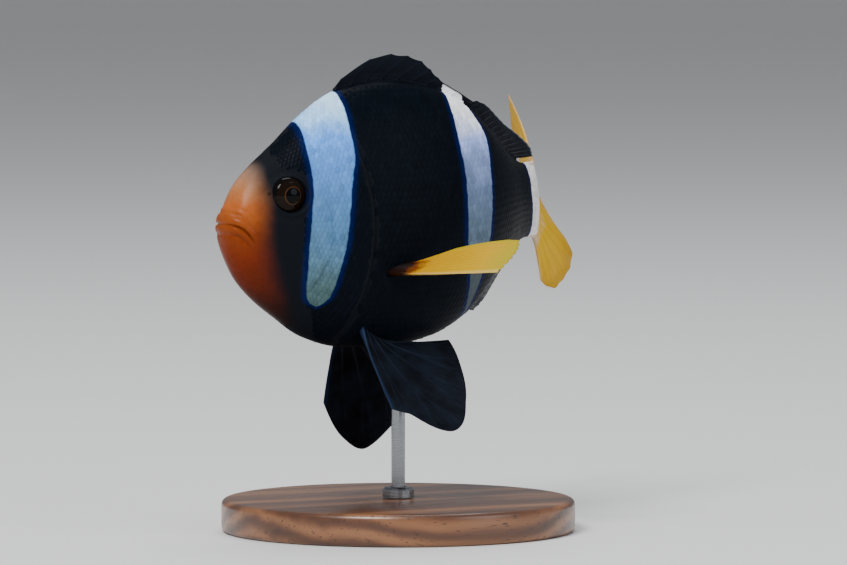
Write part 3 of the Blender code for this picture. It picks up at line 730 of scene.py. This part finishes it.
def leaning(lean, sideways, downward):
    """Direction of a ray that leans back from upright, and then sideways."""
    rise = math.cos(lean)
    return (
        math.sin(lean),
        math.sin(sideways) * max(0.35, abs(rise)),
        (-1 if downward else 1) * rise * math.cos(sideways),
    )


def new_fin(name, rays, columns, rows, spines=0, notch=0.02, spine_notch=0.0, buried=0.10, foot=1.6,
            sink=None):
    """A closed sheet of ribs with thin skin between them. Each ray is (root, direction, length, curl).

    The buried part carries on straight inwards, or along "sink" where one is given.
    """
    gaps = len(rays) - 1
    roots, directions, lengths, curls = (np.array(part, float).reshape(gaps + 1, -1) for part in zip(*rays))
    directions /= np.linalg.norm(directions, axis=1, keepdims=True)
    across, outward = np.meshgrid(np.arange(gaps * columns + 1), np.arange(rows + 1), indexing="ij")
    position = across / columns
    low = np.minimum(position.astype(int), gaps - 1)
    share = position - low

    def from_ray_to_ray(values):
        knots = np.arange(len(values))
        return np.stack([curve_through(knots, column, position) for column in values.T], -1)

    reach = -buried + (1 + buried) * outward / rows
    out = np.clip(reach, 0, 1)
    root, direction, length, curl = map(from_ray_to_ray, (roots, directions, lengths, curls))
    direction /= np.linalg.norm(direction, axis=-1, keepdims=True)
    spiny = np.clip(spines - position, 0.0, 1.0)
    scallop = spiny * 4 * share * (1 - share) + (1 - spiny) * np.sin(math.pi * share) ** 2
    length = length[..., 0] * (1 - between((notch, spine_notch), spiny) * scallop)
    t = reach[..., None] if sink is None else np.maximum(reach, 0.0)[..., None]
    straight = root + (direction * t + curl * t * np.abs(t)) * length[..., None]
    if sink is not None:
        straight = straight - np.array(sink) * (np.minimum(reach, 0.0) / buried)[..., None]
    points = place(straight)
    gap_width = np.linalg.norm(np.gradient(points, axis=0), axis=-1) * columns
    first, second = (wide * smooth_step(reach, start, end) * (1 - spiny) for wide, start, end in FORKS)
    off_ray = share - np.round(share)
    forks = [one * first + other * second for one in (-1, 1) for other in (-1, 1)]
    nearest = np.min([np.abs(off_ray - fork) for fork in forks], axis=0)
    rib_width = between((RIB_HALF_WIDTH["ray"], RIB_HALF_WIDTH["spine"]), spiny) * (1.15 - 0.55 * out)
    rib = hump(nearest * gap_width, rib_width)
    raised = RIB_THICKNESS * (1 - 0.62 * out) * (0.75 + 0.25 * spiny) * rib
    thinned = 1 - 0.8 * smooth_step(reach, 0.88, 1.0) * (1 - spiny)
    thick = WEB_THICKNESS + np.maximum(0.0, raised - WEB_THICKNESS) * thinned
    thick = thick + foot * RIB_THICKNESS * hump(np.maximum(reach, 0.0), 0.13) * 0.5
    piece, u, v = new_grid(name, gaps * columns, rows)
    i = np.rint(u * gaps * columns).astype(int)
    j = np.rint(v * rows).astype(int)
    set_places(piece, points[i, j])
    add_numbers(piece, "markings", markings_at(straight[i, j]))
    add_numbers(piece, "rays", np.stack((position / gaps, out, rib), -1)[i, j])
    weights = piece.vertex_groups.new(name="thickness")
    full = thick.max()
    levels = np.rint(thick[i, j] / full * 100).astype(int)
    for level in np.unique(levels):
        weights.add(np.nonzero(levels == level)[0].tolist(), level / 100, "REPLACE")
    wall = piece.modifiers.new("wall", "SOLIDIFY")
    wall.thickness = full
    wall.offset = 0.0
    wall.vertex_group = "thickness"
    wall.thickness_vertex_group = 0.0
    bpy.ops.object.modifier_apply(modifier="wall")
    bpy.ops.object.shade_smooth()
    return piece


def fin_finish(name, roughness, gloss):
    """A fin's material, with the numbers that its rays carry: place from front to back, reach, and rib."""
    finish, tree, shader = new_finish(name, roughness, {"Specular IOR Level": gloss})
    where = node(tree, "TexCoord", output="Object")
    return finish, shader, where, *split(attribute(tree, "rays"))


def ray_bumps(shader, reach, rib, where, joints):
    """Fine joints across the soft rays, and a faint grain on the skin between them."""
    wave = reckon("SINE", times(reach, joints * 2 * math.pi), 0.0)
    joint = times(times(wave, rib), 0.25)
    grain = plus(noise(where, 2400.0, 3.0), joint)
    bumps(shader, grain, 0.00006, 0.6)


def midline_rays(count, roots, leans, sideways, places, lengths, curls, downward=False):
    """Rays that stand on the back, or hang from the belly. Roots, leans and curls run from first to last."""
    rays = []
    for u in np.linspace(0, 1, count):
        along = between(roots, u)
        top, bottom, _, _ = section(along)
        root = (along, 0.0, bottom - ROOT_LIFT if downward else top + ROOT_LIFT)
        direction = leaning(math.radians(between(leans, u)), math.radians(sideways), downward)
        rays.append((root, direction, curve_through(places, lengths, u), between(np.array(curls), u)))
    return rays


DORSAL_SPINES, DORSAL_RAYS = 10, 14
ROOT_LIFT, ROOT_SINK = 0.002, 0.014
spines = midline_rays(
    DORSAL_SPINES, roots=(0.285, 0.638), leans=(38, 92), sideways=0,
    places=(0.0, 0.1, 0.25, 0.45, 0.65, 0.8, 1.0),
    lengths=(0.028, 0.072, 0.088, 0.080, 0.046, 0.032, 0.044),
    curls=((0.02, 0.0, 0.0), (0.02, 0.0, 0.0)))
soft_rays = midline_rays(
    DORSAL_RAYS, roots=(0.668, 0.905), leans=(76, 94), sideways=10,
    places=(0.0, 0.1, 0.45, 0.6, 0.8, 1.0),
    lengths=(0.046, 0.064, 0.098, 0.129, 0.152, 0.118),
    curls=((0.0, 0.0, 0.03), (0.0, -0.03, 0.05)))
dorsal = new_fin("dorsal_fin_spread", spines + soft_rays, columns=10, rows=40, spines=DORSAL_SPINES,
                 spine_notch=0.05, sink=(0.0, 0.0, -ROOT_SINK))
black_fin, shader, where, front_to_back, reach, rib = fin_finish("black_fin", 0.45, 0.04)
coat, white, _, _ = marked_colour(black_fin.node_tree)
cloud = noise(where, 260.0, 4.0)
rim = times(spread(reach, 0.93, 0.99), spread(front_to_back, 0.45, 0.60))
lighter = times(drift(cloud, 0.15, 0.5), spread(reach, 0.2, 1.0))
white = times(white, spread(reach, 0.60, 0.95, 1.0, 0.0))
white = times(white, spread(front_to_back, 0.55, 0.65, 1.0, 0.0))
dark = layered(
    paint(9, 12, 19), (lighter, paint(20, 26, 38)), (times(rib, 0.35), paint(24, 30, 43)),
    (white, coat), (times(rim, 0.6), paint(120, 128, 140)))
cover_with(shader, dark, drift(cloud, 0.30, 0.50))
ray_bumps(shader, reach, rib, where, joints=70)
dorsal.data.materials.append(black_fin)
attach(dorsal, "root")
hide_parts("dorsal_fin")

# ----------------------------------------
# ANAL FIN
# Two short spines and thirteen soft rays under the tail stalk, half folded. Black, like the belly.
ANAL_SPINES, ANAL_RAYS = 2, 15  # the spines are counted in
rays = midline_rays(
    ANAL_RAYS, roots=(0.665, 0.885), leans=(74, 92), sideways=54,
    places=(0.0, 0.15, 0.55, 0.85, 1.0), lengths=(0.038, 0.066, 0.094, 0.090, 0.066),
    curls=((0.02, 0.04, 0.03), (0.02, 0.04, 0.03)), downward=True)
anal = new_fin("anal_fin_spread", rays, columns=10, rows=36, spines=ANAL_SPINES, spine_notch=0.16,
               sink=(0.0, 0.0, ROOT_SINK))
anal.data.materials.append(black_fin)
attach(anal, "root")
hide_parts("anal_fin")

# ----------------------------------------
# TAIL FIN
# Seventeen branched rays in two rounded lobes with a shallow notch, swept to the fish's right. Orange
# yellow, with a pale root and slightly paler outer rays.
TAIL_RAYS = 17
TAIL_ROOTS = (1.005, -0.014, 0.084)  # along, height of the middle ray, and half height
TAIL_PLACES = (-1.0, -0.85, -0.7, -0.4, 0.0, 0.5, 1.0)
TAIL_SHAPE = {
    "angles": (-50, -42, -34, -23, -9, 14, 36),
    "swings": (17, 12, 7, 2, 11, 24, 27),
    "lengths": (0.205, 0.250, 0.280, 0.294, 0.240, 0.262, 0.258),
    "curls": (0.03, 0.05, 0.05, 0.045, 0.09, 0.12, 0.13),
    "lifts": (0.24, 0.12, 0.02, 0.0, 0.0, 0.0, 0.0),
}
rays = []
for v in np.linspace(-1, 1, TAIL_RAYS):
    shape = [float(curve_through(TAIL_PLACES, row, v)) for row in TAIL_SHAPE.values()]
    angle, swing, length, curl, rise = shape
    angle, swing = math.radians(angle), math.radians(swing)
    level = math.cos(angle)
    direction = (level * math.cos(swing), level * math.sin(swing), math.sin(angle))
    root_along, root_middle, root_half_height = TAIL_ROOTS
    rays.append(((root_along, 0.0, root_middle + root_half_height * v), direction, length, (0.0, curl, rise)))
tail = new_fin("tail_fin_spread", rays, columns=12, rows=56, notch=0.016, foot=2.2, sink=(-0.03, 0.0, 0.0))
yellow_fin, shader, where, front_to_back, reach, rib = fin_finish("yellow_tail", 0.36, 0.03)
cloud = noise(where, 220.0, 4.0)
blade = shades(plus(reach, drift(cloud, -0.12, 0.12, smooth=False)), (
    (0.00, (222, 214, 204)),
    (0.08, (216, 182, 116)),
    (0.22, (216, 172, 0)),
    (0.75, (208, 160, 0)),
    (1.00, (188, 142, 0)),
))
from_middle_ray = reckon("ABSOLUTE", reckon("SUBTRACT", front_to_back, 0.5), 0.0)
outer = spread(from_middle_ray, 0.462, 0.492)
blade = layered(blade, (times(rib, 0.30), paint(180, 118, 0)), (times(outer, 0.35), paint(230, 190, 140)))
cover_with(shader, blade, drift(cloud, 0.30, 0.46))
ray_bumps(shader, reach, rib, where, joints=90)
tail.data.materials.append(yellow_fin)
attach(tail, "root")
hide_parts("tail_fin")

# ----------------------------------------
# PECTORAL FINS
# A short fleshy foot and twelve rays, held out from each flank with the paler leading ray lowest. The
# foot is nearly black and turns orange-brown, and the blade is yellow.
PECTORAL_RAYS = 12
PECTORAL_ROOTS = (np.array((0.368, -0.144)), np.array((0.412, -0.128)))  # along and height
PECTORAL_ROOT_OUT = 0.004
PECTORAL_FAN, PECTORAL_CURL = (-19, 32), 0.05
PECTORAL_PLACES = (0.0, 0.2, 0.5, 0.64, 0.8, 1.0)
PECTORAL_LENGTHS = (0.262, 0.248, 0.238, 0.234, 0.183, 0.105)
PECTORAL_ABDUCTION, PECTORAL_RISE, PECTORAL_TILT = (math.radians(a) for a in (48, 9, 22))
pectoral_finish, shader, where, front_to_back, reach, rib = fin_finish("yellow_pectoral", 0.36, 0.03)
cloud = noise(where, 260.0, 4.0)
blade = shades(plus(reach, drift(cloud, -0.07, 0.07, smooth=False)), (
    (0.00, (14, 8, 6)),
    (0.12, (34, 14, 8)),
    (0.21, (104, 50, 8)),
    (0.30, (184, 136, 0)),
    (0.80, (188, 150, 0)),
    (1.00, (166, 152, 26)),
))
ribs = times(rib, spread(reach, 0.12, 0.36, 0.0, 0.26))
leading = spread(front_to_back, 0.02, 0.07, 1.0, 0.0)
leading = times(leading, spread(reach, 0.12, 0.4))
blade = layered(blade, (ribs, paint(168, 112, 0)), (times(leading, 0.6), paint(210, 176, 104)))
cover_with(shader, blade, drift(cloud, 0.30, 0.46))
ray_bumps(shader, reach, rib, where, joints=60)
for name, side in (("left", -1), ("right", 1)):
    out_side, out_back = math.sin(PECTORAL_ABDUCTION), math.cos(PECTORAL_ABDUCTION)
    span = np.array((out_back, side * out_side, math.tan(PECTORAL_RISE)))
    span /= np.linalg.norm(span)
    flat = np.array((out_side, -side * out_back, 0.0))
    chord = flat * math.cos(PECTORAL_TILT) + np.array((0, 0, math.sin(PECTORAL_TILT)))
    rays = []
    for v in np.linspace(0, 1, PECTORAL_RAYS):
        along, height = between(PECTORAL_ROOTS, v)
        _, low, half, widest = section(along)
        down_share = abs((height - widest) / (widest - low))
        flank = half * (1 - down_share**LENS_POWER) ** (1 / LENS_POWER)
        fanned = math.radians(between(PECTORAL_FAN, v))
        direction = span * math.cos(fanned) + chord * math.sin(fanned)
        length = curve_through(PECTORAL_PLACES, PECTORAL_LENGTHS, v)
        root = (along, side * (flank + PECTORAL_ROOT_OUT), height)
        rays.append((root, direction, length, chord * PECTORAL_CURL))
    pectoral = new_fin(f"pectoral_fin_{name}_spread", rays, columns=12, rows=50, notch=0.012, foot=2.4)
    pectoral.data.materials.append(pectoral_finish)
    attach(pectoral, "root")
    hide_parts(f"pectoral_fin_{name}")

# ----------------------------------------
# PELVIC FINS
# A pair of broad black fans under the breast, each a spine and five branched rays, hanging down and out
# from the belly. A dull blue line runs along the leading edge.
PELVIC_RAYS = 6
PELVIC_ROOTS, PELVIC_ROOT_SIDES, PELVIC_ROOT_DROP = (0.324, 0.390), (0.056, 0.036), 0.008
PELVIC_PLACES = (0.0, 0.2, 0.4, 0.7, 1.0)
PELVIC_CURLS = (np.array((0.06, 0.0, 0.02)), np.array((0.0, 0.0, 0.02)))
PELVIC_SPLAY = {"left": math.radians(39), "right": math.radians(30)}
PELVIC_SWEEP = {"left": (-4, 88), "right": (3, 74)}
PELVIC_LENGTH = {"left": 0.280, "right": 0.351}
PELVIC_SHARES = {"left": (0.78, 0.80, 1.02, 0.73, 0.60), "right": (0.60, 0.87, 1.04, 0.92, 0.78)}
PELVIC_OPENING = {"left": 1.5, "right": 1.2}
pelvic_finish, shader, where, front_to_back, reach, rib = fin_finish("black_pelvic", 0.45, 0.06)
cloud = noise(where, 200.0, 4.0)
leading = spread(front_to_back, 0.01, 0.06, 1.0, 0.0)
dark = layered(
    paint(8, 10, 15), (spread(cloud, 0.3, 0.7), paint(18, 23, 33)), (times(rib, 0.4), paint(26, 33, 46)),
    (times(leading, 0.5), paint(28, 46, 76)))
cover_with(shader, dark, drift(cloud, 0.30, 0.50))
ray_bumps(shader, reach, rib, where, joints=60)
for name, side in (("left", -1), ("right", 1)):
    splay = PELVIC_SPLAY[name]
    rays = []
    for v in np.linspace(0, 1, PELVIC_RAYS):
        along = between(PELVIC_ROOTS, v)
        root_side = side * between(PELVIC_ROOT_SIDES, v)
        _, low, half, widest = section(along)
        share = (1 - (abs(root_side) / half) ** LENS_POWER) ** (1 / LENS_POWER)
        sweep = math.radians(between(PELVIC_SWEEP[name], v ** PELVIC_OPENING[name]))
        down = math.cos(sweep)
        direction = (math.sin(sweep), side * down * math.sin(splay), -down * math.cos(splay))
        length = PELVIC_LENGTH[name] * curve_through(PELVIC_PLACES, PELVIC_SHARES[name], v)
        root = (along, root_side, between((widest, low), share) - PELVIC_ROOT_DROP)
        rays.append((root, direction, length, between(PELVIC_CURLS, v)))
    pelvic = new_fin(f"pelvic_fin_{name}_spread", rays, columns=24, rows=56, notch=0.0, buried=0.16, foot=2.0)
    pelvic.data.materials.append(pelvic_finish)
    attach(pelvic, "root")
    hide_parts(f"pelvic_fin_{name}")

# ----------------------------------------
# STAND
# A turned walnut disc with a satin varnish, a steel rod pressed into it and up into the belly, and a
# small steel collar round the rod's foot.
BASE_BEVEL = 0.0012
low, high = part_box("stand_base")
wood, tree, shader = new_finish("walnut", 0.34, {"Coat Weight": 0.25, "Coat Roughness": 0.2})
where = node(tree, "TexCoord", output="Object")
lie = {"Vector": where, "Rotation": (0.0, 0.05, 0.35)}
stretched = node(tree, "Mapping", lie | {"Scale": (6.0, 60.0, 60.0), "Location": (0.0, 0.6, 4.0)})
waver = noise(stretched, 1.6, 4.0)
rings = {"Vector": stretched, "Scale": 1.2, "Distortion": 6.0, "Detail": 3.0}
grain = node(tree, "TexWave", rings, output="Fac", wave_type="RINGS", rings_direction="X")
figure = plus(times(grain, 0.5), times(waver, 0.6))
plank = shades(figure, (
    (0.15, (58, 34, 22)),
    (0.50, (96, 60, 38)),
    (0.85, (134, 90, 58)),
))
pores = noise(node(tree, "Mapping", lie | {"Scale": (30.0, 500.0, 500.0)}), 4.0, 3.0)
plank = layered(plank, (spread(pores, 0.60, 0.72), paint(38, 22, 15)))
cover_with(shader, plank, drift(pores, 0.28, 0.42))
bumps(shader, pores, 0.00004, 0.4)
bpy.ops.mesh.primitive_cylinder_add(vertices=160, radius=high.x, depth=high.z, location=(0, 0, high.z / 2))
base = bpy.context.object
base.name = base.data.name = "stand_base_turned"
bpy.ops.object.transform_apply(location=True, rotation=True, scale=True)
edges = base.modifiers.new("edges", "BEVEL")
edges.width = BASE_BEVEL
edges.segments = 5
edges.limit_method = "ANGLE"
bpy.ops.object.modifier_apply(modifier="edges")
bpy.ops.object.shade_smooth_by_angle(angle=math.radians(30))
base.data.materials.append(wood)
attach(base, "root")
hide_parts("stand_base")

steel, tree, shader = new_finish("brushed_steel", 0.28, {"Metallic": 1.0})
where = node(tree, "TexCoord", output="Object")
brushed = noise(node(tree, "Mapping", {"Vector": where, "Scale": (60.0, 60.0, 3000.0)}), 3.0, 2.0)
grey = shades(brushed, ((0.3, (128, 130, 134)), (0.7, (160, 162, 166))))
cover_with(shader, grey, drift(brushed, 0.20, 0.34))
bumps(shader, brushed, 0.00001, 0.5)
for name in ("stand_rod", "stand_collar"):
    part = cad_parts[name]
    part.data.materials.clear()
    part.data.materials.append(steel)

# ----------------------------------------
# STUDIO
# A pale floor that curves up into a backdrop, soft lights, and the camera on the fish's left, a little
# above it.
FLOOR_FRONT, FLOOR_DEPTH, FLOOR_HALF_WIDTH = 3.8, 4.2, 3.9
WALL_HEIGHT, SWEEP, SWEEP_STEPS = 2.6, 1.6, 16
VIEW_AZIMUTH, VIEW_ELEVATION, VIEW_DISTANCE = math.radians(-30), math.radians(4), 2.0
profile = [(-FLOOR_FRONT, 0.0), (FLOOR_DEPTH - SWEEP, 0.0)]
for i in range(1, SWEEP_STEPS + 1):
    a = math.pi / 2 * i / SWEEP_STEPS
    profile.append((FLOOR_DEPTH - SWEEP + SWEEP * math.sin(a), SWEEP * (1 - math.cos(a))))
profile.append((FLOOR_DEPTH, WALL_HEIGHT))
away = Vector((-math.sin(VIEW_AZIMUTH), math.cos(VIEW_AZIMUTH)))
across = Vector((away.y, -away.x))
points = []
for distance, height in profile:
    for side in (-1, 1):
        spot = away * distance + across * side * FLOOR_HALF_WIDTH
        points.append((spot.x, spot.y, height))
faces = [(2 * i, 2 * i + 1, 2 * i + 3, 2 * i + 2) for i in range(len(profile) - 1)]
mesh = bpy.data.meshes.new("studio_floor")
mesh.from_pydata(points, [], faces)
mesh.shade_smooth()
floor = add_object("studio_floor", mesh)
paper, tree, shader = new_finish("backdrop_paper", 0.75)
shader.inputs["Base Color"].default_value = (0.72, 0.72, 0.71, 1.0)
mesh.materials.append(paper)


def add_light(name, place_at, look_at, size, power, tint=(1.0, 1.0, 1.0)):
    lamp = bpy.data.lights.new(name, "AREA")
    lamp.shape, lamp.size, lamp.energy, lamp.color = "DISK", size, power, tint
    made = add_object(name, lamp)
    made.location = place_at
    made.rotation_euler = (Vector(look_at) - Vector(place_at)).to_track_quat("-Z", "Y").to_euler()


target = Vector((0.008, 0.003, 0.0530))
add_light("key_light", (-0.75, -0.55, 0.95), target, 0.55, 19.0)
add_light("fill_light", (0.55, -0.95, 0.45), target, 0.80, 4.0, (0.94, 0.97, 1.0))
add_light("top_light", (0.25, 0.35, 1.05), target, 0.70, 7.0, (0.97, 0.98, 1.0))
world = bpy.context.scene.world or bpy.data.worlds.new("studio")
bpy.context.scene.world = world
world.use_nodes = True
sky = world.node_tree.nodes["Background"].inputs
sky["Color"].default_value = (0.90, 0.93, 1.0, 1.0)
sky["Strength"].default_value = 0.33

lens = bpy.data.cameras.new("camera")
lens.lens, lens.sensor_width = 395.0, 36.0
lens.clip_start, lens.clip_end = 0.01, 20.0
camera = add_object("camera", lens)
back = Vector((
    math.sin(VIEW_AZIMUTH) * math.cos(VIEW_ELEVATION),
    -math.cos(VIEW_AZIMUTH) * math.cos(VIEW_ELEVATION),
    math.sin(VIEW_ELEVATION),
))
camera.location = target + back * VIEW_DISTANCE
camera.rotation_euler = (-back).to_track_quat("-Z", "Y").to_euler()
bpy.context.scene.camera = camera
